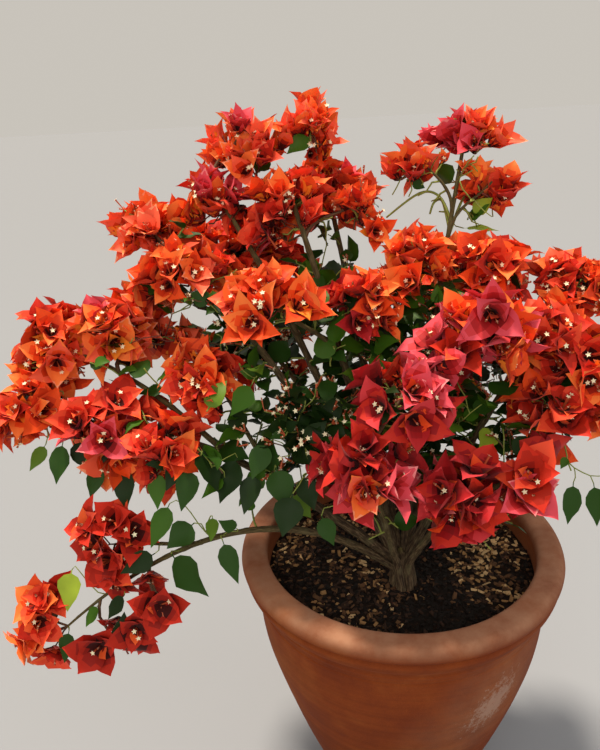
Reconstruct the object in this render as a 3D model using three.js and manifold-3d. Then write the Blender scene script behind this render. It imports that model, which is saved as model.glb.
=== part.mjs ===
// A bougainvillea bush in a round terracotta pot, as one part made of separate solids:
// the pot, its potting mix, the root crown, the boughs and the masses of leaf and bloom.
// Millimetres, +Z up. The origin is the centre of the pot's flat underside, and the bush's
// front, where its crimson bloom hangs over the rim, faces -Y.
import * as THREE from 'three';
import { mergeVertices } from 'three/addons/utils/BufferGeometryUtils.js';
import Module from 'manifold-3d';

const wasm = await Module();
wasm.setup();

// Driving dimensions of the pot, turned in terracotta.
const POT_HEIGHT = 350;
const RIM_RADIUS = 190;
const RIM_TOP_RADIUS = 182;
const RIM_INNER_RADIUS = 160;
const RIM_DEPTH = 34;
const RIM_WIDEST_DROP = 16;
const RIM_ROLL = 6;
const RIM_EASE = 1.5;
const NECK_RADIUS = 173;
const BELLY_RADIUS = 164;
const BELLY_HEIGHT = 225;
const WAIST_RADIUS = 133;
const WAIST_HEIGHT = 110;
const FOOT_RADIUS = 95;
const FOOT_CHAMFER = 4;
const WALL = 14;
const FLOOR = 18;
const POT_SIDES = 30;

// Driving dimensions of the potting mix and of the root crown that stands on it.
const SOIL_DROP = 33;
const SOIL_EDGE_DROP = 3;
const SOIL_FLAT_RADIUS = 120;
const CROWN_FOOT = new THREE.Vector2(0, -48);
const CROWN_HEIGHT = 46;
const CROWN_LEAN = new THREE.Vector2(-4, 8);
const CROWN_FOOT_RADIUS = 22;
const CROWN_WAIST_RADIUS = 15;
const CROWN_HEAD_RADIUS = 21;
const CROWN_FLARE_HEIGHT = 0.22;
const STEM_RING_RADIUS = 11;
const CROWN_ROOTS = 5;
const CROWN_ROOT_RELIEF = 0.16;

// The gap between neighbours, how much wider than a piece the cut that clears it is, and how
// round the limbs and the masses are drawn. A mass whose half sizes are all small is plainer.
const GAP = 0.3;
const CUT = 0.4;
const CROWN_SIDES = 15;
const CROWN_STEPS = 5;
const LIMB_SIDES = 6;
const LIMB_STEPS = 6;
const BALL_DETAIL = 2;
const SMALL_BALL_DETAIL = 1;
const SMALL_BALL_HALF = 45;
const MASS_LOBES = 7;
const LOBE_RATE_LEAST = 3;
const LOBE_RATE_MOST = 7;
const MASS_UNEVENNESS = 0.075;

const SOIL_TOP = POT_HEIGHT - SOIL_DROP;

// The masses: where the middle of each is from the pot's axis and above the rim, and its
// half sizes along X, Y and Z.
const MASSES = {
  front_left_low: { at: [-50, -102, 160], half: [52, 40, 52] },
  front_top: { at: [-4, -74, 226], half: [48, 44, 44] },
  front_middle_low: { at: [46, -106, 126], half: [44, 38, 42] },
  front_right_low: { at: [110, -92, 128], half: [42, 42, 42] },
  front_centre: { at: [-132, -28, 312], half: [50, 44, 42] },
  middle_crimson: { at: [-34, 16, 298], half: [44, 40, 38] },
  right_crimson: { at: [76, -28, 272], half: [48, 44, 42] },
  right_low: { at: [146, -46, 176], half: [46, 48, 48] },
  right_outer: { at: [196, -20, 210], half: [52, 50, 46] },
  right_outer_high: { at: [162, 4, 254], half: [42, 46, 36] },
  right_back_tip: { at: [200, 56, 290], half: [56, 42, 34] },
  right_upper: { at: [98, 48, 322], half: [46, 44, 34] },
  right_upper_inner: { at: [28, 52, 332], half: [46, 40, 36] },
  spray_top: { at: [96, 126, 460], half: [42, 38, 34] },
  spray_left: { at: [32, 114, 432], half: [27, 26, 24] },
  spray_right: { at: [118, 94, 398], half: [28, 28, 26] },
  top_centre: { at: [-108, 78, 398], half: [54, 50, 50] },
  top_right: { at: [-36, 84, 382], half: [34, 36, 32] },
  top_middle: { at: [-78, 132, 478], half: [40, 38, 34] },
  top_left: { at: [-156, 124, 460], half: [48, 40, 38] },
  top_left_low: { at: [-196, 94, 412], half: [38, 38, 34] },
  upper_left_tip: { at: [-272, 92, 382], half: [44, 42, 36] },
  upper_left: { at: [-230, 44, 336], half: [56, 52, 48] },
  left_high: { at: [-298, 48, 266], half: [70, 50, 47] },
  left_outer: { at: [-378, 44, 248], half: [54, 50, 48] },
  left_tip: { at: [-412, 8, 190], half: [44, 42, 40] },
  left_low: { at: [-326, -24, 174], half: [60, 50, 44] },
  left_low_inner: { at: [-250, -58, 164], half: [40, 38, 36] },
  left_middle: { at: [-206, -12, 228], half: [40, 40, 36] },
  low_left_inner: { at: [-316, -76, 64], half: [36, 30, 30] },
  low_left_tip: { at: [-398, -96, -10], half: [46, 30, 32] },
  low_left_end: { at: [-326, -110, -38], half: [48, 30, 32] },
  low_left_near: { at: [-276, -98, 4], half: [38, 30, 32] },
  heart_left: { at: [-112, -52, 182], half: [58, 34, 62] },
  back_high: { at: [-62, 190, 388], half: [66, 54, 54] },
  back_left: { at: [-152, 184, 306], half: [92, 58, 62] },
  back_right: { at: [102, 164, 268], half: [86, 58, 56] },
  back_low_left: { at: [-158, 152, 204], half: [88, 60, 56] },
  back_low_right: { at: [116, 118, 188], half: [82, 58, 54] },
};

// The boughs: what each grows from and how far along it, the mass that it ends at, its radius
// at each end, how much it rises as it leaves, and how far above its end it comes in.
const BOUGHS = {
  low_left: { from: 'trunk', at: 0.5, to: 'low_left_near', radii: [4.5, 2.8], rise: 95, arch: 75 },
  low_left_side: { from: 'low_left', at: 0.72, to: 'low_left_inner', radii: [2.6, 1.8], rise: 10, arch: 0 },
  left: { from: 'trunk', at: 0.75, to: 'left_low', radii: [6, 3.8], rise: 90, arch: 10 },
  left_outer: { from: 'left', at: 0.6, to: 'left_outer', radii: [3.6, 2.6], rise: 40, arch: -10 },
  left_middle: { from: 'left', at: 0.42, to: 'left_middle', radii: [3.2, 2.4], rise: 30, arch: -20 },
  upper_left: { from: 'trunk', at: 0.9, to: 'upper_left', radii: [6.2, 3.6], rise: 140, arch: -60 },
  top_left: { from: 'trunk', at: 0.95, to: 'top_left_low', radii: [5.8, 3.2], rise: 170, arch: -90 },
  centre: { from: 'trunk', at: 0.97, to: 'top_centre', radii: [6.5, 3.6], rise: 150, arch: -100 },
  centre_front: { from: 'centre', at: 0.45, to: 'front_centre', radii: [3.6, 2.6], rise: 30, arch: -50 },
  front: { from: 'trunk', at: 0.7, to: 'front_left_low', radii: [4.8, 3.2], rise: 60, arch: -40 },
  front_right: { from: 'trunk', at: 0.7, to: 'front_right_low', radii: [4.8, 3.2], rise: 75, arch: -20 },
  right: { from: 'trunk', at: 0.8, to: 'right_outer_high', radii: [6, 3.5], rise: 100, arch: -60 },
  upright: { from: 'trunk', at: 0.95, to: 'spray_top', radii: [5.5, 2.4], rise: 190, arch: -120 },
  spray_left: { from: 'upright', at: 0.78, to: 'spray_left', radii: [2.2, 1.7], rise: 10, arch: -20 },
  spray_right: { from: 'upright', at: 0.72, to: 'spray_right', radii: [2.2, 1.7], rise: 15, arch: -20 },
  back: { from: 'trunk', at: 0.95, to: 'back_high', radii: [6, 3.6], rise: 140, arch: -90 },
  back_left: { from: 'trunk', at: 0.85, to: 'back_low_left', radii: [5.6, 3.6], rise: 90, arch: -20 },
  back_right: { from: 'trunk', at: 0.85, to: 'back_low_right', radii: [5.6, 3.6], rise: 90, arch: -20 },
};

const terracotta = new THREE.MeshStandardMaterial({ color: 0xb5714f, roughness: 0.85, metalness: 0 });
const pottingMix = new THREE.MeshStandardMaterial({ color: 0x2a1f18, roughness: 1, metalness: 0 });
const bark = new THREE.MeshStandardMaterial({ color: 0x6d5a45, roughness: 0.9, metalness: 0 });
const greenLeaf = new THREE.MeshStandardMaterial({ color: 0x35531f, roughness: 0.6, metalness: 0 });
const orangeBloom = new THREE.MeshStandardMaterial({ color: 0xe2481c, roughness: 0.6, metalness: 0 });
const crimsonBloom = new THREE.MeshStandardMaterial({ color: 0xc22436, roughness: 0.6, metalness: 0 });

const bush = new THREE.Group();
bush.name = 'bougainvillea_bush';

function addPiece(name, geometry, material) {
  const mesh = new THREE.Mesh(geometry, material);
  mesh.name = name;
  bush.add(mesh);
  return mesh;
}

// Leaves only the positions, with the vertices that faces share made one.
function welded(geometry) {
  geometry.deleteAttribute('normal');
  geometry.deleteAttribute('uv');
  return mergeVertices(geometry, 1e-4);
}

function toSolid(geometry) {
  const vertProperties = new Float32Array(geometry.attributes.position.array);
  const triVerts = new Uint32Array(geometry.index.array);
  return new wasm.Manifold(new wasm.Mesh({ numProp: 3, vertProperties, triVerts }));
}

function toGeometry(solid) {
  const mesh = solid.getMesh();
  const geometry = new THREE.BufferGeometry();
  geometry.setAttribute('position', new THREE.BufferAttribute(mesh.vertProperties, 3));
  geometry.setIndex(new THREE.BufferAttribute(mesh.triVerts, 1));
  return geometry;
}

function largestPiece(solid) {
  const pieces = solid.decompose();
  return pieces.reduce((best, piece) => (piece.volume() > best.volume() ? piece : best));
}

// Turns a profile of (radius, height) points, which starts and ends on the axis, round +Z.
function turned(points) {
  const profile = points.map(([radius, height]) => new THREE.Vector2(radius, height));
  const geometry = new THREE.LatheGeometry(profile, POT_SIDES);
  geometry.rotateX(Math.PI / 2);
  return welded(geometry);
}

// The pot: a bowl that swells to a belly under a thick rolled rim.
const WALL_STEPS = 5;
const outerWall = new THREE.SplineCurve([
  new THREE.Vector2(FOOT_RADIUS, FOOT_CHAMFER),
  new THREE.Vector2(WAIST_RADIUS, WAIST_HEIGHT),
  new THREE.Vector2(BELLY_RADIUS, BELLY_HEIGHT),
  new THREE.Vector2(NECK_RADIUS, POT_HEIGHT - RIM_DEPTH),
]);

function wallPoints(inset, lowest) {
  return outerWall
    .getPoints(WALL_STEPS)
    .map((point) => [point.x - inset, point.y])
    .filter(([, height]) => height > lowest);
}

function potProfile() {
  const inner = wallPoints(WALL, FLOOR + WALL).reverse();
  return [
    [0, 0],
    [FOOT_RADIUS - FOOT_CHAMFER, 0],
    ...wallPoints(0, 0),
    [RIM_RADIUS - RIM_ROLL / 2, POT_HEIGHT - RIM_DEPTH + RIM_ROLL],
    [RIM_RADIUS, POT_HEIGHT - RIM_WIDEST_DROP],
    [RIM_RADIUS - RIM_ROLL / 2, POT_HEIGHT - RIM_ROLL],
    [RIM_TOP_RADIUS, POT_HEIGHT],
    [RIM_INNER_RADIUS + RIM_EASE, POT_HEIGHT],
    [RIM_INNER_RADIUS - RIM_EASE, POT_HEIGHT - 2 * RIM_EASE],
    ...inner,
    [inner.at(-1)[0] - WALL, FLOOR],
    [0, FLOOR],
  ];
}
addPiece('pot', turned(potProfile()), terracotta);

// The potting mix: it fills the pot to a little below the rim, flat round the root crown.
function soilProfile() {
  const inner = wallPoints(WALL + GAP, FLOOR + WALL);
  const below = inner.filter(([, height]) => height < SOIL_TOP - SOIL_EDGE_DROP);
  const edge = NECK_RADIUS - WALL - GAP - SOIL_EDGE_DROP / 2;
  return [
    [0, FLOOR + GAP],
    [inner[0][0] - WALL, FLOOR + GAP],
    ...below,
    [edge, SOIL_TOP - SOIL_EDGE_DROP],
    [SOIL_FLAT_RADIUS, SOIL_TOP],
    [0, SOIL_TOP],
  ];
}
addPiece('potting_mix', turned(soilProfile()), pottingMix);

// A limb is a closed cylinder bent along a curve. Its radius is a function of how far along
// the curve (0 to 1) and of the angle round it, and grow makes it thicker and longer.
function limb(curve, sides, steps, grow, radiusAt) {
  const geometry = welded(new THREE.CylinderGeometry(1, 1, 1, sides, steps));
  const frames = curve.computeFrenetFrames(steps);
  const position = geometry.attributes.position;
  const offset = new THREE.Vector3();
  for (let i = 0; i < position.count; i += 1) {
    const along = position.getY(i) + 0.5;
    const ring = Math.round(along * steps);
    const radius = radiusAt(along, Math.atan2(position.getZ(i), position.getX(i))) + grow;
    offset.copy(frames.normals[ring]).multiplyScalar(position.getX(i) * radius);
    offset.addScaledVector(frames.binormals[ring], -position.getZ(i) * radius);
    if (ring === 0) {
      offset.addScaledVector(frames.tangents[ring], -grow);
    }
    if (ring === steps) {
      offset.addScaledVector(frames.tangents[ring], grow);
    }
    offset.add(curve.getPointAt(along));
    position.setXYZ(i, offset.x, offset.y, offset.z);
  }
  return geometry;
}

// The root crown: a low, ribbed stock with a flat cut at the potting mix's surface.
const crownBase = new THREE.Vector3(CROWN_FOOT.x, CROWN_FOOT.y, SOIL_TOP + GAP);
const crownTop = new THREE.Vector3(
  CROWN_FOOT.x + CROWN_LEAN.x,
  CROWN_FOOT.y + CROWN_LEAN.y,
  SOIL_TOP + GAP + CROWN_HEIGHT
);
const crownCurve = new THREE.CubicBezierCurve3(
  crownBase,
  new THREE.Vector3(crownBase.x, crownBase.y, crownBase.z + CROWN_HEIGHT / 3),
  new THREE.Vector3(crownTop.x, crownTop.y, crownTop.z - CROWN_HEIGHT / 3),
  crownTop
);

function crownGeometry(grow) {
  return limb(crownCurve, CROWN_SIDES, CROWN_STEPS, grow, (along, angle) => {
    const flare = Math.exp(-along / CROWN_FLARE_HEIGHT);
    const spread = (CROWN_HEAD_RADIUS - CROWN_WAIST_RADIUS) * along * along;
    const round = CROWN_WAIST_RADIUS + (CROWN_FOOT_RADIUS - CROWN_WAIST_RADIUS) * flare + spread;
    const ribs = 1 + CROWN_ROOT_RELIEF * flare * Math.cos(CROWN_ROOTS * angle);
    return round * ribs;
  });
}
addPiece('trunk', crownGeometry(0), bark);

// Numbers from 0 to 1 that are the same on each run.
function seeded(seed) {
  let state = seed;
  return () => {
    state = (state * 1664525 + 1013904223) % 4294967296;
    return state / 4294967296;
  };
}

function middleOf(mass) {
  return new THREE.Vector3(mass.at[0], mass.at[1], mass.at[2] + POT_HEIGHT);
}

// How far a mass's plain ellipsoid reaches in a direction.
function plainReach(mass, direction) {
  const [x, y, z] = mass.half;
  return 1 / Math.hypot(direction.x / x, direction.y / y, direction.z / z);
}

// A few waves in seeded directions make each mass uneven in its own way.
function lobesOf(seed) {
  const next = seeded(seed);
  return Array.from({ length: MASS_LOBES }, () => ({
    direction: new THREE.Vector3(next() - 0.5, next() - 0.5, next() - 0.5).normalize(),
    rate: LOBE_RATE_LEAST + (LOBE_RATE_MOST - LOBE_RATE_LEAST) * next(),
    phase: 2 * Math.PI * next(),
  }));
}

// A mass of leaf and bloom: an uneven ball, flattened where it meets each neighbour.
function massGeometry(name, seed, grow) {
  const mass = MASSES[name];
  const middle = middleOf(mass);
  const lobes = lobesOf(seed);
  const small = Math.max(...mass.half) < SMALL_BALL_HALF;
  const detail = small ? SMALL_BALL_DETAIL : BALL_DETAIL;
  const geometry = welded(new THREE.IcosahedronGeometry(1, detail));
  const walls = Object.values(MASSES)
    .filter((other) => other !== mass)
    .map((other) => {
      const normal = middleOf(other).sub(middle);
      const distance = normal.length();
      normal.normalize();
      const mine = plainReach(mass, normal);
      const theirs = plainReach(other, normal);
      return { normal, limit: (distance * mine) / (mine + theirs) - GAP / 2 + grow };
    });
  const position = geometry.attributes.position;
  const direction = new THREE.Vector3();
  for (let i = 0; i < position.count; i += 1) {
    direction.fromBufferAttribute(position, i).normalize();
    let swell = 1;
    for (const lobe of lobes) {
      swell += MASS_UNEVENNESS * Math.cos(lobe.rate * direction.dot(lobe.direction) + lobe.phase);
    }
    let reach = plainReach(mass, direction) * swell + grow;
    for (const wall of walls) {
      const facing = direction.dot(wall.normal);
      if (facing > 0) {
        reach = Math.min(reach, wall.limit / facing);
      }
    }
    direction.multiplyScalar(reach).add(middle);
    position.setXYZ(i, direction.x, direction.y, direction.z);
  }
  return geometry;
}

const FIRST_SEED = 101;
const SEED_STEP = 37;
const massSeed = Object.fromEntries(
  Object.keys(MASSES).map((name, index) => [name, FIRST_SEED + SEED_STEP * index])
);
const CRIMSON = ['front_left_low', 'front_top', 'front_middle_low', 'front_right_low', 'middle_crimson',
  'right_crimson', 'right_low', 'spray_top', 'spray_left'];
const GREEN = ['heart_left'];

function massMaterial(name) {
  if (GREEN.includes(name)) {
    return greenLeaf;
  }
  return CRIMSON.includes(name) ? crimsonBloom : orangeBloom;
}

for (const name of Object.keys(MASSES)) {
  addPiece(`mass_${name}`, massGeometry(name, massSeed[name], 0), massMaterial(name));
}

// The boughs: each leaves the crown or a bigger bough, tapers, and is cut off where it enters
// a mass. Later boughs are cut clear of the ones before them.
const curves = { trunk: crownCurve };

function boughCurve(bough) {
  const parent = curves[bough.from];
  const start = parent.getPointAt(bough.at);
  if (bough.from === 'trunk') {
    const outward = middleOf(MASSES[bough.to]).sub(start).setZ(0).normalize();
    start.addScaledVector(outward, STEM_RING_RADIUS);
  }
  const end = middleOf(MASSES[bough.to]);
  const run = end.clone().sub(start);
  const leaving = start.clone().add(new THREE.Vector3(run.x / 3, run.y / 3, bough.rise));
  if (bough.from !== 'trunk') {
    const tangent = parent.getTangentAt(bough.at);
    leaving.copy(start).addScaledVector(tangent, run.length() / 3);
    leaving.z += bough.rise;
  }
  const arriving = end.clone().sub(new THREE.Vector3(run.x / 3, run.y / 3, -bough.arch));
  return new THREE.CubicBezierCurve3(start, leaving, arriving, end);
}

function boughGeometry(bough, curve, grow) {
  const [base, tip] = bough.radii;
  return limb(curve, LIMB_SIDES, LIMB_STEPS, grow, (along) => base + (tip - base) * along);
}

let obstacles = toSolid(crownGeometry(CUT));
for (const name of Object.keys(MASSES)) {
  obstacles = obstacles.add(toSolid(massGeometry(name, massSeed[name], CUT)));
}
for (const [name, bough] of Object.entries(BOUGHS)) {
  curves[name] = boughCurve(bough);
  const whole = toSolid(boughGeometry(bough, curves[name], 0));
  addPiece(`bough_${name}`, toGeometry(largestPiece(whole.subtract(obstacles))), bark);
  obstacles = obstacles.add(toSolid(boughGeometry(bough, curves[name], CUT)));
}

export default bush;
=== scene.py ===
from functools import partial
from math import cos, hypot, pi, radians, sin, tau

import bpy
import numpy as np
from mathutils import Matrix, Vector, noise
from numpy.linalg import norm


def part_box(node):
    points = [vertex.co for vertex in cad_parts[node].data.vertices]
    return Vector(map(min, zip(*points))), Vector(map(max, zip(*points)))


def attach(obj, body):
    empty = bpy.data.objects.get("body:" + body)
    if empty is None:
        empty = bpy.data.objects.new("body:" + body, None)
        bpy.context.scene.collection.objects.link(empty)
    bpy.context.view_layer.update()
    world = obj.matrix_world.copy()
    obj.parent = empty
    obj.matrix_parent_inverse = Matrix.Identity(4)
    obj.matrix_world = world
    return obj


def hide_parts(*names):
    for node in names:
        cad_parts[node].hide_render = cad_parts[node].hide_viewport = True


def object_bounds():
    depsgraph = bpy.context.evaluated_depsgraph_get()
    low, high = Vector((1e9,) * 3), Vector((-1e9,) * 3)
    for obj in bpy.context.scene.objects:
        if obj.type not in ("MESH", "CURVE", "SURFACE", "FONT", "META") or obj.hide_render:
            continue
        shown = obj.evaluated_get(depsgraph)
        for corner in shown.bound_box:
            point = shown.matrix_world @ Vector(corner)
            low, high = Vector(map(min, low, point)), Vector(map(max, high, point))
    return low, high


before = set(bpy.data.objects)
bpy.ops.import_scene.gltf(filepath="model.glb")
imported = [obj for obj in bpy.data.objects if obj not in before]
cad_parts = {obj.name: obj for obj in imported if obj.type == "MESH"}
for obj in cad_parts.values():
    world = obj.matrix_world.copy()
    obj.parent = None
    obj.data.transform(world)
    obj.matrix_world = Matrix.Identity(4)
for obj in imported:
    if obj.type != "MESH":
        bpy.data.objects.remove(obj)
cad_lowest, cad_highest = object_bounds()
MM = 0.001


# The pot: a terracotta bowl thrown on a wheel, with a swelling belly, a thick rolled collar with
# a groove under it, and a soft ridge and a turned line on its neck. Its profile is turned round
# the upright axis.
POT_STEPS = 144
POT_WALL = 14 * MM
POT_FLOOR = 18 * MM
COLLAR_GROOVE = (330.5 * MM, 1.6 * MM, 1.4 * MM)
NECK_LINE = (291 * MM, 1.3 * MM, 1.1 * MM)
NECK_RIDGE = (299.5 * MM, 1.8 * MM, -0.9 * MM)
WALL_KNOTS = [(95, 4), (133, 110), (165.5, 225), (172.5, 303)]
COLLAR = [(174.6, 308), (179.5, 312.5), (184.5, 318.5), (187, 325), (186.6, 330.5), (189.4, 335.5),
          (190, 340), (188.2, 345.4), (184.4, 348.8), (179, 350), (170, 350.1), (164.4, 349.4),
          (161, 347.4), (159.4, 343.4), (158.9, 336)]


def smooth_through(knots, steps):
    """Points on a smooth line through the knots, steps to each stretch."""
    knots = np.array([knots[0], *knots, knots[-1]], float)
    t = np.arange(steps)[:, None] / steps
    line = [0.5 * (2 * b + (c - a) * t + (2 * a - 5 * b + 4 * c - d) * t ** 2
                   + (3 * b - a - 3 * c + d) * t ** 3)
            for a, b, c, d in zip(knots, knots[1:], knots[2:], knots[3:])]
    return np.concatenate([*line, knots[-1:]])


def groove(height, line):
    """How deep a turned line cuts at a height."""
    middle, width, depth = line
    return depth * np.exp(-((height - middle) / width) ** 2)


def in_scene(name, data):
    """A new object in the scene that shows a mesh, a lamp or a camera."""
    made = bpy.data.objects.new(name, data)
    bpy.context.scene.collection.objects.link(made)
    return made


def ring_faces(rings, sides):
    """The quads between rings of vertices, each ring joined to the next."""
    ring = np.arange(rings - 1)[:, None] * sides
    side, after = ring + np.arange(sides), ring + np.arange(1, sides + 1) % sides
    return np.stack([side, after, after + sides, side + sides], -1).reshape(-1, 4).tolist()


def spun(name, profile, sides):
    """A closed mesh turned round the pot's axis from a profile of (radius, height)."""
    (_, bottom), *rings, (_, top) = profile
    turns = [(cos(tau * k / sides), sin(tau * k / sides)) for k in range(sides)]
    vertices = [(r * c, r * s, z) for r, z in rings for c, s in turns] + [(0, 0, bottom), (0, 0, top)]
    last = sides * (len(rings) - 1)
    ends = [face for k in range(sides) for after in [(k + 1) % sides]
            for face in ((after, k, last + sides), (last + k, last + after, last + sides + 1))]
    mesh = bpy.data.meshes.new(name)
    mesh.from_pydata(vertices, [], ring_faces(len(rings), sides) + ends)
    turned = in_scene(name, mesh)
    bpy.ops.object.select_all(action="DESELECT")
    turned.select_set(True)
    bpy.context.view_layer.objects.active = turned
    bpy.ops.object.shade_smooth_by_angle(angle=radians(38))
    return turned


def linear(colour):
    """An sRGB hex colour as linear red, green, blue and alpha."""
    parts = [int(colour[i:i + 2], 16) / 255 for i in (0, 2, 4)]
    return tuple(c / 12.92 if c <= 0.04045 else ((c + 0.055) / 1.055) ** 2.4 for c in parts) + (1.0,)


def feed(node, inputs):
    """Gives a node's inputs, by name or in order, a value, a socket or a node's first output."""
    for key, value in inputs.items() if isinstance(inputs, dict) else enumerate(inputs):
        if isinstance(value, bpy.types.Node):
            value = next(socket for socket in value.outputs if socket.enabled)
        if isinstance(value, bpy.types.NodeSocket):
            node.id_data.links.new(value, node.inputs[key])
        else:
            node.inputs[key].default_value = value


def add_node(tree, kind, inputs=(), stops=(), **settings):
    """Adds a node with its settings, its inputs and the stops of its colour ramp."""
    made = tree.nodes.new("ShaderNode" + kind)
    for name, value in settings.items():
        setattr(made, name, value)
    feed(made, inputs)
    for i, (place, colour) in enumerate(stops):
        ramp = made.color_ramp.elements
        stop = ramp[i] if i < 2 else ramp.new(place)
        stop.position = place
        stop.color = linear(colour)
    return made


def surface(name, colour, roughness, specular=0.5):
    """A material of one Principled shader, and what adds nodes to it."""
    material = bpy.data.materials.new(name)
    material.use_nodes = True
    shader = material.node_tree.nodes["Principled BSDF"]
    feed(shader, {"Base Color": linear(colour), "Roughness": roughness, "Specular IOR Level": specular})
    return material, partial(add_node, material.node_tree), shader


wall_line = smooth_through(WALL_KNOTS, 24) * MM
wall_heights = np.concatenate([np.arange(4, 286, 8), np.arange(286, 303.5, 0.9)]) * MM
wall_radii = np.interp(wall_heights, wall_line[:, 1], wall_line[:, 0])
wall_radii -= groove(wall_heights, NECK_LINE) + groove(wall_heights, NECK_RIDGE)
collar = smooth_through(COLLAR, 4) * MM
collar[:, 0] -= groove(collar[:, 1], COLLAR_GROOVE) * (collar[:, 0] > 175 * MM)
inner_heights = np.arange(328, 36, -10) * MM
inner_radii = np.interp(inner_heights, wall_line[:, 1], wall_line[:, 0]) - POT_WALL
inner = list(zip(inner_radii, inner_heights))
pot_profile = [(0, 0), (91 * MM, 0), *zip(wall_radii, wall_heights), *collar, *inner,
               (inner[-1][0] - POT_WALL, POT_FLOOR), (0, POT_FLOOR)]
pot = spun("pot_terracotta", pot_profile, POT_STEPS)
for vertex in pot.data.vertices:
    waver = noise.noise(vertex.co * 9) * 0.9 * MM + noise.noise(vertex.co * 40) * 0.18 * MM
    across = Vector((vertex.co.x, vertex.co.y, 0))
    if across.length > 20 * MM:
        vertex.co += across.normalized() * waver

# Terracotta, fired and left bare: matt and thirsty, orange where it is clean, greyer and paler
# on the rubbed collar, with salt that has come through the wall and faint rings from the wheel.
terracotta, node, shader = surface("terracotta_fired_bare", "B4663F", 0.86, 0.18)
place = node("TexCoord").outputs["Object"]
height = node("SeparateXYZ", [place]).outputs["Z"]
clouds, grit, rub_break, flakes = (
    node("TexNoise", {"Vector": place, "Scale": scale, "Detail": detail, "Roughness": rough})
    for scale, detail, rough in ((11, 5, 0.6), (950, 2, 0.5), (34, 5, 0.65), (120, 9, 0.85)))
body = node("ValToRGB", [clouds], [(0.3, "823614"), (0.72, "B2622E"), (0.5, "9A471A")])
# Rings of 3 to 5 mm from the potter's fingers
ringed = node("VectorMath", [place, (3, 3, 230)], operation="MULTIPLY")
rings = node("TexNoise", {"Vector": ringed, "Scale": 1, "Detail": 3})
ring_tone = node("ValToRGB", [rings], [(0.35, "8A8A8A"), (0.7, "B8B8B8")])
toned = node("Mix", {0: 0.35, 6: body, 7: ring_tone}, data_type="RGBA", blend_type="OVERLAY")
# Grit of about 1 mm in the clay
grit_tone = node("ValToRGB", [grit], [(0.36, "6A6A6A"), (0.62, "909090")])
tone = node("Mix", {0: 0.45, 6: toned, 7: grit_tone}, data_type="RGBA", blend_type="OVERLAY")
# The collar's top is rubbed and dusty
rubbed = node("MapRange", [height, 0.336, 0.3485])
rub_share = node("MapRange", [rub_break, 0.28, 0.66, 0.35, 0.95])
rub = node("Math", [rubbed, rub_share], operation="MULTIPLY")
# Salt on the front right of the belly: a slanting streak of flakes a few millimetres across
from_salt = node("VectorMath", [place, (0.083, -0.146, 0.232)], operation="SUBTRACT")
along_salt = node("Mapping", {"Vector": from_salt, "Rotation": (0, radians(42), 0),
                              "Scale": (1.35, 1, 2.2)}, vector_type="TEXTURE")
salt_middle = node("VectorMath", [along_salt], operation="LENGTH")
salt_reach = node("MapRange", [salt_middle, 0.052, 0.004, 0, 0.46])
salted = node("Math", [salt_reach, flakes], operation="ADD")
salt_edge = node("MapRange", [salted, 0.82, 0.90, 0, 0.46])
veil = node("MapRange", [salt_middle, 0.068, 0.02, 0, 0.3])
veil_break = node("Math", [veil, rub_share], operation="MULTIPLY")
# Splashed earth round the foot, and the damp wall inside
foot_dirt = node("MapRange", [height, 0.075, 0])
dirt_break = node("Math", [foot_dirt, rub_break], operation="MULTIPLY")
flat_place = node("VectorMath", [place, (1, 1, 0)], operation="MULTIPLY")
from_axis = node("VectorMath", [flat_place], operation="LENGTH")
inside = node("MapRange", [from_axis, 0.1605, 0.1585])
low = node("MapRange", [height, 0.346, 0.312, 0.1, 0.6])
above_mix = node("Math", [height, 0.304], operation="GREATER_THAN")
inner_face = node("Math", [inside, above_mix], operation="MULTIPLY")
damp = node("Math", [inner_face, low], operation="MULTIPLY")
# Dust, a veil and flakes of salt, earth and damp lie over one another
for share, colour in ((rub, "AA7C60"), (veil_break, "A98467"), (salt_edge, "B89E8E"),
                      (dirt_break, "6B4E3A"), (damp, "8A5636")):
    tone = node("Mix", {0: share, 6: tone, 7: linear(colour)}, data_type="RGBA")
matt = node("MapRange", [clouds, 0.3, 0.7, 0.74, 0.93])
ring_bump = node("Bump", {"Height": rings, "Strength": 0.35, "Distance": 0.0006})
salt_bump = node("Bump", {"Height": salt_edge, "Strength": 0.5, "Distance": 0.0005, "Normal": ring_bump})
grit_bump = node("Bump", {"Height": grit, "Strength": 0.5, "Distance": 0.0004, "Normal": salt_bump})
feed(shader, {"Base Color": tone, "Roughness": matt, "Normal": grit_bump})
pot.data.materials.append(terracotta)
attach(pot, "root")
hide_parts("pot")


# The potting mix: damp peat and loam, poured in loose and sunk a little from watering. Its bed is
# turned to fill the pot, and its top is worked into crumbs.
MIX_TOP = 317 * MM
MIX_EDGE = 158.4 * MM
MIX_FLAT = 120 * MM
MIX_DROP = 3 * MM
MIX_STEPS = 132
MIX_GAP = 0.3 * MM


def mix_height(x, y):
    """How high the top of the potting mix is at a place."""
    edge = max(0, (hypot(x, y) - MIX_FLAT) / (MIX_EDGE - MIX_FLAT)) * MIX_DROP
    lumps = noise.noise(Vector((x * 26, y * 26, 0))) * 2.6 * MM
    crumbs = noise.noise(Vector((x * 120, y * 120, 3))) * 1.5 * MM
    return MIX_TOP - edge + lumps + crumbs


mix_side = [(r - MIX_GAP, z) for r, z in inner[::-1] if z < 300 * MM]
mix_foot = POT_FLOOR + MIX_GAP
mix_profile = [(0, mix_foot), (mix_side[0][0] - POT_WALL, mix_foot), *mix_side,
               *[(r, MIX_TOP) for r in np.linspace(MIX_EDGE, 0, 58)]]
bed = spun("potting_mix_bed", mix_profile, MIX_STEPS)
for vertex in bed.data.vertices:
    if vertex.co.z > MIX_TOP - 1e-5:
        vertex.co.z = mix_height(vertex.co.x, vertex.co.y)

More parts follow.
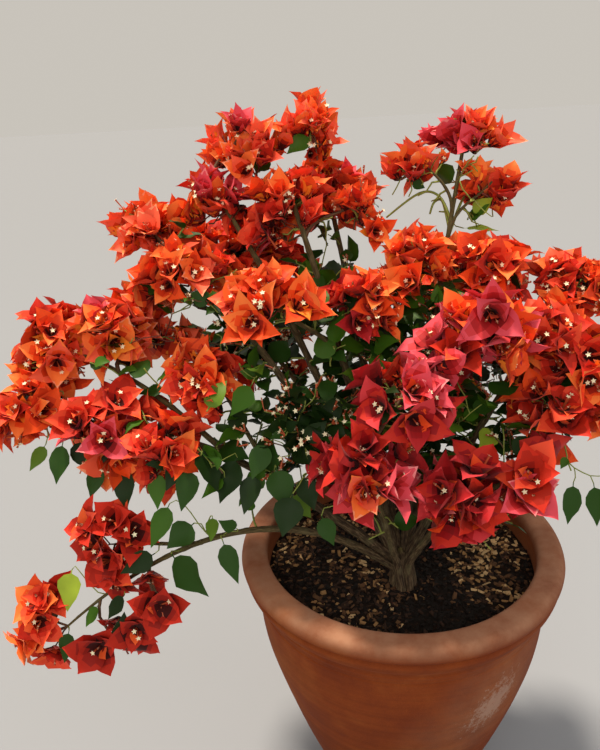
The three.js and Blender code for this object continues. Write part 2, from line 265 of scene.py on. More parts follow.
# Damp peat: nearly black, crumbly and without shine.
peat, node, shader = surface("damp_peat", "1B120C", 0.96, 0.2)
place = node("TexCoord").outputs["Object"]
crumb = node("TexNoise", {"Vector": place, "Scale": 260, "Detail": 6, "Roughness": 0.7})
crumb_tone = node("ValToRGB", [crumb], [(0.38, "0E0906"), (0.74, "4A3220"), (0.55, "1F140D")])
crumb_bump = node("Bump", {"Height": crumb, "Strength": 0.9, "Distance": 0.002})
feed(shader, {"Base Color": crumb_tone, "Normal": crumb_bump})
bed.data.materials.append(peat)
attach(bed, "root")
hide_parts("potting_mix")


# The mulch on the mix: chips and splinters of bark and dry stalk, 2 to 9 mm long, strewn by hand.
# Each is a split block with its corners knocked about, half sunk in the crumbs.
CHIP_COUNT = 3400
# The two palest chip tones also carry painted sunlight where they lie at the sides of the mix
CHIP_TONES = dict(
    peat_crumb="17100B", wet_bark_chip="35241A", bark_chip="5E422B", dry_and_sunlit_bark_chip="9C774C",
    bleached_and_sunlit_chip="CBAA7A")
CROWN_FOOT = np.array([0, -48, 317]) * MM
BLOCK = np.array([(x, y, z) for z in (-0.5, 0.5) for y in (-0.5, 0.5) for x in (-0.5, 0.5)])
BLOCK_FACES = np.array([(0, 2, 3, 1), (4, 5, 7, 6), (0, 1, 5, 4), (2, 6, 7, 3), (0, 4, 6, 2), (1, 3, 7, 5)])


def joined(name, vertices, faces, materials, slots=0, smooth=False):
    """One mesh object from arrays of vertices and faces, with a material slot for each face."""
    mesh = bpy.data.meshes.new(name)
    mesh.from_pydata(vertices, [], faces)
    for material in materials:
        mesh.materials.append(material)
    count = len(mesh.polygons)
    mesh.polygons.foreach_set("material_index", np.broadcast_to(slots, count).astype(np.int32))
    mesh.polygons.foreach_set("use_smooth", np.full(count, smooth))
    mesh.update()
    return in_scene(name, mesh)


chance = np.random.default_rng(41)
chip_corners, chip_slots = [], []
while len(chip_corners) < CHIP_COUNT:
    x, y = chance.uniform(-1, 1, 2) * (MIX_EDGE - 2 * MM)
    if hypot(x, y) > MIX_EDGE - 2 * MM or hypot(x, y - CROWN_FOOT[1]) < 15 * MM:
        continue
    long_side = chance.uniform(2.6, 7.5) + 3 * (chance.random() < 0.14)
    size = np.array([long_side, chance.uniform(1.8, 4.2), chance.uniform(0.9, 2.4)]) * MM
    block = (BLOCK + chance.uniform(-0.17, 0.17, (8, 3))) * size
    turn = (Matrix.Rotation(chance.uniform(0, tau), 3, "Z")
            @ Matrix.Rotation(chance.normal(0, 0.35), 3, "X")
            @ Matrix.Rotation(chance.normal(0, 0.3), 3, "Y"))
    middle = np.array([x, y, mix_height(x, y) + size[2] * 0.35])
    chip_corners.append(block @ np.array(turn).T + middle)
    # Drier, paler chips lie in patches, and paler chips also grow more common towards the left and right:
    # painted sunlight on the mix at its sides
    dryness_and_sunlight = noise.noise(Vector((x * 14, y * 14, 9))) * 0.8 + abs(x) * 1.6 + chance.normal(0, 0.36)
    chip_slots.append(np.searchsorted([-0.02, 0.24, 0.5, 0.78], dryness_and_sunlight))
chip_faces = np.concatenate([BLOCK_FACES + 8 * i for i in range(CHIP_COUNT)])
chips = joined("mulch_chips", np.concatenate(chip_corners), chip_faces.tolist(),
               [surface(name, colour, 0.9, 0.25)[0] for name, colour in CHIP_TONES.items()],
               np.repeat(chip_slots, len(BLOCK_FACES)))
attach(chips, "root")


# The root crown and the boughs: a low, ribbed stock from which the stems rise at once and fan out.
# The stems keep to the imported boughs' lines, and the bark is grown on them as real relief.
CROWN_RISE = 46 * MM
CROWN_LEAN = np.array([-4, 8, 0]) * MM
STEM_RING = 11 * MM
BARK_SIDES = 14
BARK_STEP = 3.2 * MM
LIMB_POINTS = 101
STOCK_SIDES = 28
STOCK_RINGS = 22
# What each bough grows from and how far along it, where it ends, its radius at each end, how much
# it rises as it leaves and how far above its end it comes in, all in millimetres
BOUGHS = dict(
    low_left=("crown", 0.5, (-377, -95, 324), (4.8, 1.8), 120, 100),
    low_left_side=("low_left", 0.58, (-316, -76, 414), (2.6, 1.8), 10, 0),
    left=("crown", 0.75, (-326, -24, 524), (6, 3.8), 90, 10),
    left_outer=("left", 0.6, (-378, 44, 598), (3.6, 2.6), 40, -10),
    left_middle=("left", 0.42, (-206, -12, 578), (3.2, 2.4), 30, -20),
    upper_left=("crown", 0.9, (-230, 44, 686), (6.2, 3.6), 140, -60),
    top_left=("crown", 0.95, (-196, 94, 762), (5.8, 3.2), 170, -90),
    centre=("crown", 0.97, (-108, 78, 748), (6.5, 3.6), 150, -100),
    centre_front=("centre", 0.45, (-132, -28, 662), (3.6, 2.6), 30, -50),
    front=("crown", 0.7, (-50, -102, 510), (4.8, 3.2), 60, -40),
    front_right=("crown", 0.7, (110, -92, 478), (4.8, 3.2), 75, -20),
    right=("crown", 0.8, (162, 4, 604), (6, 3.5), 100, -60),
    upright=("crown", 0.95, (96, 126, 810), (5.5, 2.4), 190, -120),
    spray_left=("upright", 0.78, (32, 114, 782), (2.2, 1.7), 10, -20),
    spray_right=("upright", 0.72, (118, 94, 748), (2.2, 1.7), 15, -20),
    back=("crown", 0.95, (-62, 190, 738), (6, 3.6), 140, -90),
    back_left=("crown", 0.85, (-158, 152, 554), (5.6, 3.6), 90, -20),
    back_right=("crown", 0.85, (116, 118, 538), (5.6, 3.6), 90, -20))


def unit(vectors):
    """Vectors made one long."""
    vectors = np.asarray(vectors, float)
    return vectors / np.maximum(norm(vectors, axis=-1, keepdims=True), 1e-9)


def bend(start, leave, arrive, end, steps):
    """Points on a curve that sets off towards leave and comes in from arrive."""
    t = np.linspace(0, 1, steps + 1)[:, None]
    return start * (1 - t) ** 3 + leave * 3 * t * (1 - t) ** 2 + arrive * 3 * t * t * (1 - t) + end * t ** 3


def run_along(line):
    """How far along a line each of its points lies."""
    return np.concatenate([[0], np.cumsum(norm(np.diff(line, axis=0), axis=1))])


def evened(line, count):
    """The same line with its points at even distances."""
    run = run_along(line)
    at = np.linspace(0, run[-1], count)
    return np.stack([np.interp(at, run, line[:, k]) for k in range(3)], 1)


def tube(line, radii, sides):
    """The vertices and faces of a closed tube that doesn't twist. radii holds a radius for each ring,
    or for each ring and side."""
    ahead = unit(np.gradient(line, axis=0))
    across = np.zeros_like(line)
    before = np.eye(3)[int(abs(ahead[0][0]) >= 0.8)]
    for i, way in enumerate(ahead):
        before = across[i] = unit(before - way * (before @ way))
    other = np.cross(ahead, across)
    angle = np.arange(sides)[:, None] / sides * tau
    spoke = across[:, None] * np.cos(angle) + other[:, None] * np.sin(angle)
    vertices = line[:, None] + spoke * np.broadcast_to(radii, (len(line), sides))[..., None]
    last = sides * (len(line) - 1)
    faces = [*ring_faces(len(line), sides), list(range(sides))[::-1], list(range(last, last + sides))]
    return vertices.reshape(-1, 3), faces


def gathered(parts):
    """The vertices and faces of many small meshes put together."""
    starts = np.cumsum([0, *(len(vertices) for vertices, _ in parts)]).tolist()
    faces = [[i + start for i in face] for (_, own), start in zip(parts, starts) for face in own]
    return np.concatenate([vertices for vertices, _ in parts]), faces


def bark_relief(length, angle, depth):
    """Furrows along a stem, with a swelling at each old leaf joint, as shares of its radius."""
    along = length[:, None]
    relief = np.zeros((len(length), len(angle)))
    for _ in range(9):
        turns = chance.integers(2, 7)
        wave = tau / (chance.uniform(9, 55) * MM)
        relief += np.cos(turns * angle + chance.uniform(-0.35, 0.35) * wave * along
                         + chance.uniform(0, tau)) * depth * chance.uniform(0.2, 0.55)
        relief += np.cos(chance.integers(0, 3) * angle + wave * along
                         + chance.uniform(0, tau)) * depth * 0.16
    joint = chance.uniform(8, 26) * MM
    while joint < length[-1]:
        bud = 1 + 0.9 * np.cos(angle - chance.uniform(0, tau))
        relief += 0.11 * np.exp(-((along - joint) / (2.6 * MM)) ** 2) * bud
        joint += chance.uniform(20, 38) * MM
    return relief


chance = np.random.default_rng(7)
crown_top = CROWN_FOOT + CROWN_LEAN + (0, 0, CROWN_RISE)
upwards = np.array([0, 0, CROWN_RISE / 3])
crown_line = bend(CROWN_FOOT, CROWN_FOOT + upwards, crown_top - upwards, crown_top, 200)
limb_lines = {"crown": evened(crown_line, LIMB_POINTS)}
limb_radii = {}
bark_parts, bark_grain, bark_girth = [], [], []


def add_limb(line, radii, sides, depth):
    """Adds a limb with its bark to the parts of the mesh of limbs."""
    length = run_along(line)
    angle = np.arange(sides) / sides * tau
    round_radii = radii[:, None] * (1 + bark_relief(length, angle, depth))
    bark_parts.append(tube(line, round_radii, sides))
    grain = np.stack([np.cos(angle) * round_radii, np.sin(angle) * round_radii,
                      np.repeat(length[:, None], sides, 1)], -1)
    bark_grain.append(grain.reshape(-1, 3) + chance.uniform(0, 1, 3))
    bark_girth.append(np.repeat(radii, sides))


for name, (source, share, end, radii, rise, arch) in BOUGHS.items():
    parent = limb_lines[source]
    spot = share * (len(parent) - 1)
    start = np.array([np.interp(spot, np.arange(len(parent)), column) for column in parent.T])
    end = np.array(end) * MM
    outward = unit((end - start) * (1, 1, 0))
    if source == "crown":
        start = start + outward * STEM_RING
    run = end - start
    third = run * (1, 1, 0) / 3
    leave = start + (third + (0, 0, rise * MM))
    if source != "crown":
        ahead = unit(np.gradient(parent, axis=0))[int(round(spot))]
        leave = start + ahead * norm(run) / 3 + (0, 0, rise * MM)
    line = evened(bend(start, leave, end - (third - (0, 0, arch * MM)), end, 200), LIMB_POINTS)
    limb_lines[name] = line
    limb_radii[name] = np.linspace(*radii, LIMB_POINTS) * MM
    # The visible stem starts inside what it grows from
    if source == "crown":
        swing = chance.normal(0, 0.35)
        spoke = np.array([outward[0] * cos(swing) - outward[1] * sin(swing),
                          outward[0] * sin(swing) + outward[1] * cos(swing), 0])
        foot = CROWN_FOOT + spoke * chance.uniform(8, 14) * MM - (0, 0, 6 * MM)
        ahead = unit(line[1] - line[0])
        below = bend(foot, foot + upwards * 0.6, start - ahead * 10 * MM, start, 30)[:-1]
    else:
        below = (start - ahead * limb_radii[name][0] * 2)[None]
    whole = np.vstack([below, line])
    length = run_along(whole)[-1]
    rings = max(8, int(length / BARK_STEP))
    before = 1 - run_along(line)[-1] / length
    along = (np.linspace(0, 1, rings) - before) / (1 - before)
    thick, thin = radii
    thick = np.interp(along, [min(-before, -1e-6), 0, 0.4, 1],
                      [thick * 1.12, thick * 0.98, thick * 0.68 + thin * 0.12, thin * 0.7]) * MM
    add_limb(evened(whole, rings), thick, BARK_SIDES, 0.05)

# The ribbed stock between the stems
stock_line = np.vstack([CROWN_FOOT - (0, 0, 5 * MM), limb_lines["crown"]])
flare = np.exp(-np.linspace(0, 1, STOCK_RINGS) / 0.22)
stock_radii = (4.5 + 6 * flare) * MM
stock_radii[-3:] *= (0.8, 0.55, 0.2)
add_limb(evened(stock_line, STOCK_RINGS), stock_radii, STOCK_SIDES, 0.09)

limbs = joined("bark_limbs", *gathered(bark_parts), [], smooth=True)
grain = limbs.data.attributes.new("grain", "FLOAT_VECTOR", "POINT")
grain.data.foreach_set("vector", np.concatenate(bark_grain).astype(np.float32).ravel())
girth = limbs.data.attributes.new("girth", "FLOAT", "POINT")
girth.data.foreach_set("value", (np.concatenate(bark_girth) / (6 * MM)).astype(np.float32))

# Bougainvillea bark: thin, dry and grey-brown with fine furrows on old wood, smoother and
# greener on the young ends.
bark, node, shader = surface("furrowed_bark", "6F5B46", 0.88, 0.25)
along_grain = node("Attribute", attribute_name="grain").outputs["Vector"]
girth_here = node("Attribute", attribute_name="girth").outputs["Fac"]
stretched = node("VectorMath", [along_grain, (1, 1, 0.16)], operation="MULTIPLY")
furrows = node("TexNoise", {"Vector": stretched, "Scale": 620, "Detail": 5, "Roughness": 0.65})
old_wood = node("ValToRGB", [furrows], [(0.34, "2C2118"), (0.68, "7E6A50"), (0.5, "4E3E2C")])
young_wood = node("ValToRGB", [furrows], [(0.34, "3E3420"), (0.7, "71663C")])
age = node("MapRange", [girth_here, 0.42, 0.78])
wood = node("Mix", {0: age, 6: young_wood, 7: old_wood}, data_type="RGBA")
blotches = node("TexNoise", {"Vector": along_grain, "Scale": 60, "Detail": 3})
lichen = node("MapRange", [blotches, 0.52, 0.72, 0, 0.45])
mottled = node("Mix", {0: lichen, 6: wood, 7: linear("76704E")}, data_type="RGBA")
bark_bump = node("Bump", {"Height": furrows, "Strength": 0.8, "Distance": 0.0008})
feed(shader, {"Base Color": mottled, "Normal": bark_bump})
limbs.data.materials.append(bark)
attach(limbs, "root")
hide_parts("trunk", *["bough_" + name for name in BOUGHS])


# The twigs: this year's thin growth, which forks off the boughs inside every mass and carries the
# leaves and bloom. Each grows from the limb or twig that is nearest and best aimed.
TWIG_SIDES = 4
TWIG_STEP = 9 * MM
TWIG_TONES = dict(
    young_twig_brown="6B5038", young_twig_green="8E9A48", young_twig_red="7E3F30")
MASSES = [name[5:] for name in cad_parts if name.startswith("mass_")]
BOXES = {name: np.array(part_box("mass_" + name)) for name in MASSES}
MIDDLES = {name: (low + high) / 2 for name, (low, high) in BOXES.items()}
HALVES = {name: (high - low) / 2 for name, (low, high) in BOXES.items()}
# What blooms on a mass: the percents of orange, coral, scarlet, deep scarlet, crimson and pink, the
# size of its blooms, how close together they are in millimetres, how leafy it is, and its seed
BLOOM = dict(
    front_left_low=(0, 6, 14, 4, 58, 18, 1.3, 34, 0.3, 42),
    front_top=(0, 2, 8, 0, 52, 38, 1.08, 45, 0.5, 33),
    front_middle_low=(0, 0, 20, 12, 62, 6, 1.24, 36, 0.2, 35),
    front_right_low=(0, 0, 14, 14, 64, 8, 1.2, 43, 0.4, 10),
    front_centre=(76, 16, 8, 0, 0, 0, 1.18, 40, 0.4, 14),
    middle_crimson=(42, 4, 30, 0, 16, 8, 0.97, 36, 0.7, 39),
    right_crimson=(4, 10, 16, 0, 10, 60, 1.29, 34, 0.2, 1),
    right_low=(34, 0, 44, 6, 16, 0, 1.12, 35, 0.4, 38),
    right_outer=(16, 4, 48, 0, 32, 0, 1.13, 30, 0.4, 14),
    right_outer_high=(56, 8, 36, 0, 0, 0, 0.98, 36, 0.5, 40),
    right_back_tip=(68, 10, 22, 0, 0, 0, 0.89, 38, 0.6, 12),
    right_upper=(44, 10, 24, 0, 14, 8, 0.99, 34, 0.4, 3),
    right_upper_inner=(68, 16, 16, 0, 0, 0, 1.02, 34, 0.4, 25),
    spray_top=(4, 32, 2, 0, 0, 62, 1.03, 35, 0.2, 25),
    spray_left=(10, 28, 8, 0, 0, 54, 1.12, 27, 0, 0),
    spray_right=(44, 14, 42, 0, 0, 0, 1.09, 30, 0, 17),
    top_left=(44, 34, 8, 0, 0, 14, 1.03, 36, 0.3, 27),
    top_left_low=(22, 20, 14, 0, 4, 40, 1.11, 34, 0.3, 4),
    top_middle=(50, 34, 4, 0, 0, 12, 1.01, 37, 0.3, 24),
    upper_left=(62, 12, 26, 0, 0, 0, 1.02, 36, 0.6, 3),
    top_centre=(52, 18, 18, 0, 0, 12, 1.01, 37, 0.6, 32),
    top_right=(60, 6, 34, 0, 0, 0, 0.93, 42, 0.8, 1),
    left_high=(38, 26, 12, 0, 6, 18, 1.05, 33, 0.2, 42),
    left_outer=(56, 26, 12, 0, 0, 6, 0.97, 36, 0.4, 0),
    left_low=(34, 8, 42, 0, 8, 8, 1.08, 35, 0.3, 1),
    heart_left=(36, 0, 64, 0, 0, 0, 0.62, 66, 2.2, 47),
    left_middle=(66, 4, 30, 0, 0, 0, 0.96, 35, 0.2, 20),
    left_low_inner=(48, 0, 46, 0, 0, 6, 1, 34, 0.4, 41),
    left_tip=(64, 12, 24, 0, 0, 0, 1, 39, 0.4, 35),
    upper_left_tip=(56, 42, 2, 0, 0, 0, 1.04, 34, 0.4, 41),
    back_high=(50, 22, 20, 0, 0, 8, 1.05, 35, 0.6, 11),
    back_left=(55, 12, 33, 0, 0, 0, 1.01, 37, 0.8, 24),
    back_right=(55, 12, 33, 0, 0, 0, 1.01, 37, 0.8, 40),
    back_low_left=(55, 12, 33, 0, 0, 0, 1.01, 37, 2.0, 44),
    back_low_right=(55, 12, 33, 0, 0, 0, 1.01, 37, 1.8, 45),
    # The low limb's masses take much deep scarlet, partly painted shade for their place under the crown
    low_left_inner=(4, 0, 40, 56, 0, 0, 0.9, 37, 0, 0),
    low_left_tip=(46, 12, 42, 0, 0, 0, 0.92, 36, 0, 0),
    low_left_end=(10, 0, 30, 60, 0, 0, 0.9, 40, 0, 4),
    low_left_near=(8, 0, 32, 60, 0, 0, 0.9, 40, 0, 6))
# How far towards the back the low masses behind and those of the low limb start to bloom, and how
# far round below two others do
BACK_BLOOM = dict(back_low_left=0.1, back_low_right=-0.2, low_left_inner=0.25, low_left_tip=0.2,
                  low_left_end=0.25, low_left_near=0.25)
UNDERSIDE = dict(front_centre=-0.15, right_upper=-0.4)
# The blooms that hang one by one on the low limb: throat in millimetres, facing and size in
# hundredths, tone
PLACED_BLOOMS = np.array([
    (-266, -121, 362, 20, -80, 30, 93, 3), (-296, -126, 336, 5, -85, 15, 91, 3),
    (-341, -124, 312, -5, -80, 18, 104, 3), (-415, -100, 318, -45, -70, 15, 98, 0),
    (-412, -90, 356, -30, -50, 70, 98, 0), (-392, -86, 358, 25, -55, 75, 90, 2),
    (-398, -105, 290, -5, -70, -30, 92, 2), (-436, -98, 299, -60, -50, -20, 90, 1),
    (-404, -104, 336, 10, -90, 30, 84, 2), (-322, -104, 330, -20, -80, -30, 70, 3),
    (-311, -82, 450, -5, -60, 65, 102, 2), (-338, -92, 424, -55, -60, 40, 98, 3),
    (-322, -100, 404, -20, -85, 15, 100, 2), (-290, -88, 436, 45, -65, 50, 96, 3),
    (-344, -84, 446, -50, -50, 70, 90, 2), (-318, -96, 374, -10, -70, -45, 92, 3),
    (-278, -95, 378, 10, -55, -60, 74, 3), (-300, -92, 414, 35, -85, 10, 86, 3)])
# The leaves that show one by one, most of them on the low limb and under the bloom at the left:
# stalk and reach to the tip in millimetres, percents of width to length, tone
PLACED_LEAVES = np.array([
    (-253, -95, 411, 39, -22, -34, 70, 1), (-227, -85, 441, -27, -13, -20, 74, 1),
    (-252, -75, 460, -20, -17, -39, 44, 2), (-198, -95, 424, 14, -17, -39, 44, 1),
    (-270, -95, 413, -34, -11, -13, 58, 0), (-308, -100, 366, -16, -10, -22, 60, 0),
    (-366, -80, 387, -6, -13, -41, 60, 4), (-375, -100, 322, -6, -10, -32, 50, 1),
    (-208, -80, 445, -4, -10, -23, 56, 3), (-182, -90, 434, -18, -2, 14, 62, 1),
    (-340, -95, 350, -12, -9, -20, 56, 2), (201, -60, 446, 2, -10, -44, 46, 1),
    (222, -60, 450, 14, -12, -40, 46, 1), (178, -62, 450, -8, -10, -42, 50, 1),
    (-388, -25, 512, -16, -15, -22, 46, 3), (-364, -38, 520, -8, -14, -40, 50, 1),
    (-356, -30, 516, 18, -15, -26, 56, 0), (-327, -48, 496, -10, -14, -30, 50, 1),
    (-300, -56, 500, 3, -16, -45, 46, 0), (-262, -68, 496, 0, -17, -34, 48, 2),
    (-224, -74, 500, -12, -16, -38, 54, 1), (-216, -66, 520, 14, -19, -42, 60, 0),
    (-178, -62, 503, -18, -18, -41, 58, 0), (-157, -55, 582, -23, -15, -25, 58, 2),
    (-138, -76, 497, 8, -16, -37, 66, 1), (-122, -98, 478, -12, -14, -38, 68, 0),
    (-111, -80, 488, 9, -12, -33, 60, 0), (-94, -95, 448, 11, -10, -28, 60, 1),
    (-147, -60, 518, -15, -18, -31, 58, 1), (-236, -62, 508, -16, -18, -28, 50, 0),
    (-192, -72, 486, -22, -14, -16, 52, 2), (-160, -70, 488, -12, -18, -36, 54, 0),
    (89, 98, 697, 37, -8, -7, 46, 4), (93, 98, 706, 23, -6, 16, 55, 2)])
# Middle and half sizes of the places where little is in leaf, and the share of leafy twigs and of
# their leaves that grows there
BARE_PLACES = [
    ((-255, -90, 390), (150, 90, 80), 0.2), ((95, 105, 735), (110, 70, 120), 0.2),
    ((60, -95, 440), (150, 50, 90), 0.5), ((74, -111, 404), (26, 22, 24), 0),
    ((86, 52, 735), (16, 16, 16), 0)]
# Middle, half sizes and number of leafy twigs of each leafy place between the masses
LEAFY_PLACES = [
    ((-100, -40, 520), (90, 55, 90), 50), ((15, 10, 560), (105, 65, 95), 90),
    ((60, 45, 640), (100, 55, 45), 40), ((-180, 20, 620), (85, 55, 65), 30),
    ((130, 20, 520), (75, 65, 60), 40), ((-10, 110, 560), (150, 60, 110), 110),
    ((20, 30, 450), (110, 60, 50), 60), ((110, -30, 500), (60, 40, 40), 16),
    ((-215, -50, 505), (75, 40, 25), 14)]
# Where single shoots reach, in millimetres: one at the right, and the bare ones by the tall spray
LONE_SHOOTS = [((176, -58, 462), 0), ((8, 104, 738), 0.8), ((62, 106, 716), 0.8), ((106, 98, 694), 0.5)]
# Pale green shoots by the tall spray: the step of the upright bough each leaves, and its points
GREEN_SHOOTS = [(77, ((62, 106, 733), (39, 105, 738), (1, 104, 713))),
                (75, ((66, 107, 727), (56, 105, 727), (51, 104, 714))),
                (73, ((88, 106, 727), (99, 102, 738)))]
# Two young blooms beside the tall spray, and their sizes
YOUNG_BLOOMS = [((66, 104, 775), 0.46), ((90, 98, 764), 0.56)]
LEAFY_SHARE = 44e3  # leafy twigs in each cubic metre of mass, before the mass's own share
FORK_ROOM = 60000

chance = np.random.default_rng(2024)
forks, fork_ways = np.zeros((2, FORK_ROOM, 3))
fork_radii = np.zeros(FORK_ROOM)
fork_count = 0
twigs, leaf_places, shoot_tips = [], [], []


def add_forks(line, radii):
    """Lets new twigs grow from the points of a line."""
    global fork_count
    after = fork_count + len(line)
    forks[fork_count:after] = line
    fork_ways[fork_count:after] = unit(np.gradient(line, axis=0))
    fork_radii[fork_count:after] = radii
    fork_count = after


def buried(point, own):
    """True where a point lies inside a mass other than its own."""
    return any((off := (point - MIDDLES[name]) / HALVES[name]) @ off < 1.04
               for name in MASSES if name != own)


def leafy_share(points):
    """The share of leafy growth at each of the points."""
    share = np.ones(len(points))
    for middle, half, left in BARE_PLACES:
        share[(((points / MM - middle) / half) ** 2).sum(1) < 1] = left
    return share


def grow_twig(target, arriving, base, tip, tone, bare=0):
    """Grows a twig to a target and notes its leaf joints. arriving is its direction at the end, base
    and tip its radii there in millimetres, and bare the share of it without leaves."""
    gap = target - forks[:fork_count]
    distance = norm(gap, axis=1)
    ahead = (gap * fork_ways[:fork_count]).sum(1) / np.maximum(distance, 1e-6)
    source = int(np.argmin(distance * (1.3 - 0.3 * ahead) + 4 * MM * (fork_radii[:fork_count] < 0.9 * MM)))
    run = distance[source]
    if run < 5 * MM:
        return
    start = forks[source]
    leave = unit(0.55 * fork_ways[source] + 0.6 * gap[source] / run + chance.normal(0, 0.16, 3)
                 + (0, 0, 0.12))
    steps = max(3, int(run / TWIG_STEP))
    line = bend(start, start + leave * run * 0.36, target - arriving * run * 0.36, target, steps)
    line[1:-1] += chance.normal(0, 0.6 * MM, (steps - 1, 3))
    thick = min(base * MM, max(fork_radii[source] * 0.85, tip * MM))
    radii = np.linspace(thick, tip * MM, steps + 1)
    twigs.append((line, radii, tone))
    inner, thin = line[1:-1], radii[1:-1]
    if steps == 3:
        inner, thin = line[[1, 1]] + [[0, 0, 0], [0, 0, 1e-4]], radii[[1, 1]]
    add_forks(inner, thin)
    even, length = evened(line, 40), run_along(line)[-1]
    ways = unit(np.gradient(even, axis=0))
    at = chance.uniform(6, 14) * MM
    side = chance.uniform(0, tau)
    while at < length * (1 - bare):
        i = int(at / length * 39)
        leaf_places.append((even[i], ways[i], side))
        at += chance.uniform(11, 19) * MM
        side += pi + chance.normal(0, 0.5)


for name, radii in limb_radii.items():
    add_forks(limb_lines[name][34::2], radii[34::2])

# The leading twigs reach the middle of every mass, the nearest first
for name in sorted(MASSES, key=lambda n: norm(forks[:fork_count] - MIDDLES[n], axis=1).min()):
    middle = MIDDLES[name]
    nearest = norm(forks[:fork_count] - middle, axis=1).argmin()
    grow_twig(middle, unit(unit(middle - forks[nearest]) + (0, 0, 0.4)), 2.6, 1.7, 0)


def places_on(name, spacing, chance):
    """Places over a mass's packed surface at least spacing apart, with the outward direction."""
    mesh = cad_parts["mass_" + name].data
    corners = np.array([[mesh.vertices[i].co for i in face.vertices] for face in mesh.polygons])
    cross = np.cross(corners[:, 1] - corners[:, 0], corners[:, 2] - corners[:, 0])
    area = norm(cross, axis=1) / 2
    tries = int(area.sum() / spacing ** 2 * 9)
    picked = chance.choice(len(area), tries, p=area / area.sum())
    a, b = chance.random((2, tries, 1))
    flip = a + b > 1
    a, b = np.where(flip, 1 - a, a), np.where(flip, 1 - b, b)
    first, second, third = corners[picked].swapaxes(0, 1)
    spots = first + a * (second - first) + b * (third - first)
    kept, ways = [], []
    for spot, face in zip(spots, picked):
        if all(norm(spot - other) > spacing for other in kept):
            kept.append(spot)
            ways.append(unit(spot - MIDDLES[name]) * 0.6 + cross[face] / (2 * area[face]) * 0.4)
    return kept, ways


# A twig to the foot of every bloom, then leafy twigs through the body of each mass
BLOOM_DEPTH = 24 * MM
KEPT_IN = 28 * MM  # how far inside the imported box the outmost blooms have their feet
UP = np.array([0, 0, 1.0])
blooms = []
for row in PLACED_BLOOMS:
    axis, size = unit(row[3:6] / 100), row[6] / 100
    foot = row[:3] * MM - axis * 14 * MM * size
    grow_twig(foot, unit(axis + UP * 0.3), 1.1, 0.8, 0, 1)
    blooms.append((foot, axis, size, row[7]))
placed_feet = np.array([foot for foot, _, _, _ in blooms])


def flowering(name):
    """The flowering tips of a mass, the inmost first: where each forks, which way it points, and
    the blooms it carries as place, direction, size and tone."""
    *percents, size, spacing, _, seed = BLOOM[name]
    chance = np.random.default_rng((2024, seed))
    shares = np.array(percents) / 100
    tips = []
    for spot, way in zip(*places_on(name, spacing * MM, chance)):
        if (buried(spot + unit(way) * 16 * MM, name) or (way[2] < -0.55 and chance.random() < 0.6)
                or way[1] < BACK_BLOOM.get(name, -2) or way[2] < UNDERSIDE.get(name, -2)):
            continue
        # Low blooms hang and face outwards, high ones stand up
        upright = min(max((spot[2] - 0.62) / 0.16, 0), 1)
        hang = min(max((0.52 - spot[2]) / 0.12, 0), 1)
        axis = unit(unit(way) + UP * (0.3 + upright - 0.45 * hang) + chance.normal(0, 0.2, 3))
        foot = (spot - axis * (BLOOM_DEPTH + 14 * MM * upright) * size
                - unit(way) * chance.uniform(-4, 13) * MM)
        foot = np.clip(foot, np.add(cad_lowest, KEPT_IN), np.subtract(cad_highest, KEPT_IN))
        if norm(placed_feet - foot, axis=1).min() < 26 * MM:
            continue
        # Each flowering tip forks into two to four blooms that lean apart, or one fewer low down
        tone = chance.choice(6, p=shares)
        low = foot[2] < 0.53
        number = chance.choice((2, 3, 4), p=(0.35, 0.5, 0.15) if low else (0.25, 0.6, 0.15)) - low
        across = unit(np.cross(axis, chance.normal(0, 1, 3)))
        heads = []
        for k in range(number):
            turn = tau * (k + chance.uniform(-0.2, 0.2)) / number
            aside = across * cos(turn) + np.cross(axis, across) * sin(turn)
            lean = unit(axis + aside * chance.uniform(0.35, 0.85) * (1 - 0.3 * upright))
            shift = aside * chance.uniform(8, 15) * (number > 1) + axis * chance.uniform(-5, 6)
            own = tone if chance.random() < 0.75 else chance.choice(6, p=shares)
            heads.append((foot + shift * MM * size, lean, size * chance.uniform(0.8, 1.08), own))
        tips.append((foot, axis, heads))
    return sorted(tips, key=lambda tip: norm(tip[0] - MIDDLES[name]))


def leafy_shoot(spot, way, lift, odds):
    """Grows a leafy twig to a place, if the place isn't to stay bare."""
    if chance.random() <= leafy_share(spot[None])[0]:
        grow_twig(spot, unit(way + UP * lift), 1.4, 0.7, chance.choice(3, p=odds))
        shoot_tips.append((spot, way))


for name in MASSES:
    for foot, axis, heads in flowering(name):
        grow_twig(foot - axis * 8 * MM, axis, 1.5, 0.9, chance.choice(3, p=(0.4, 0.35, 0.25)), 0.45)
        for place, lean, _, _ in heads:
            grow_twig(place, lean, 0.9, 0.7, chance.choice(3, p=(0.3, 0.3, 0.4)), 1)
        blooms.extend(heads)
    middle, half = MIDDLES[name], HALVES[name]
    count = int(BLOOM[name][8] * (LEAFY_SHARE * 4.19 * half.prod() + 3))
    for _ in range(count):
        way = unit(chance.normal(0, 1, 3))
        spot = middle + way * half * chance.uniform(0.1, 0.62 if way[2] > -0.2 else 0.95)
        leafy_shoot(spot, way, 0.5, (0.3, 0.55, 0.15))
# Side shoots on the bare lengths of the boughs
for name in BOUGHS:
    if name.startswith("low_left"):
        continue
    line = limb_lines[name]
    at = 30
    while at < 96:
        side = unit(np.cross(unit(line[at] - line[at - 1]), unit(chance.normal(0, 1, 3))))
        way = unit(side + UP * 0.35)
        grow_twig(line[at] + way * chance.uniform(24, 60) * MM, way, 1.3, 0.7, 1)
        at += chance.integers(4, 8)
# Leafy growth that fills the bush between its masses
for middle, half, count in LEAFY_PLACES:
    for _ in range(count):
        way = unit(chance.normal(0, 1, 3))
        spot = (middle + way * half * chance.uniform(0, 1) ** 0.5) * MM
        leafy_shoot(spot, way, 0.6, (0.35, 0.5, 0.15))

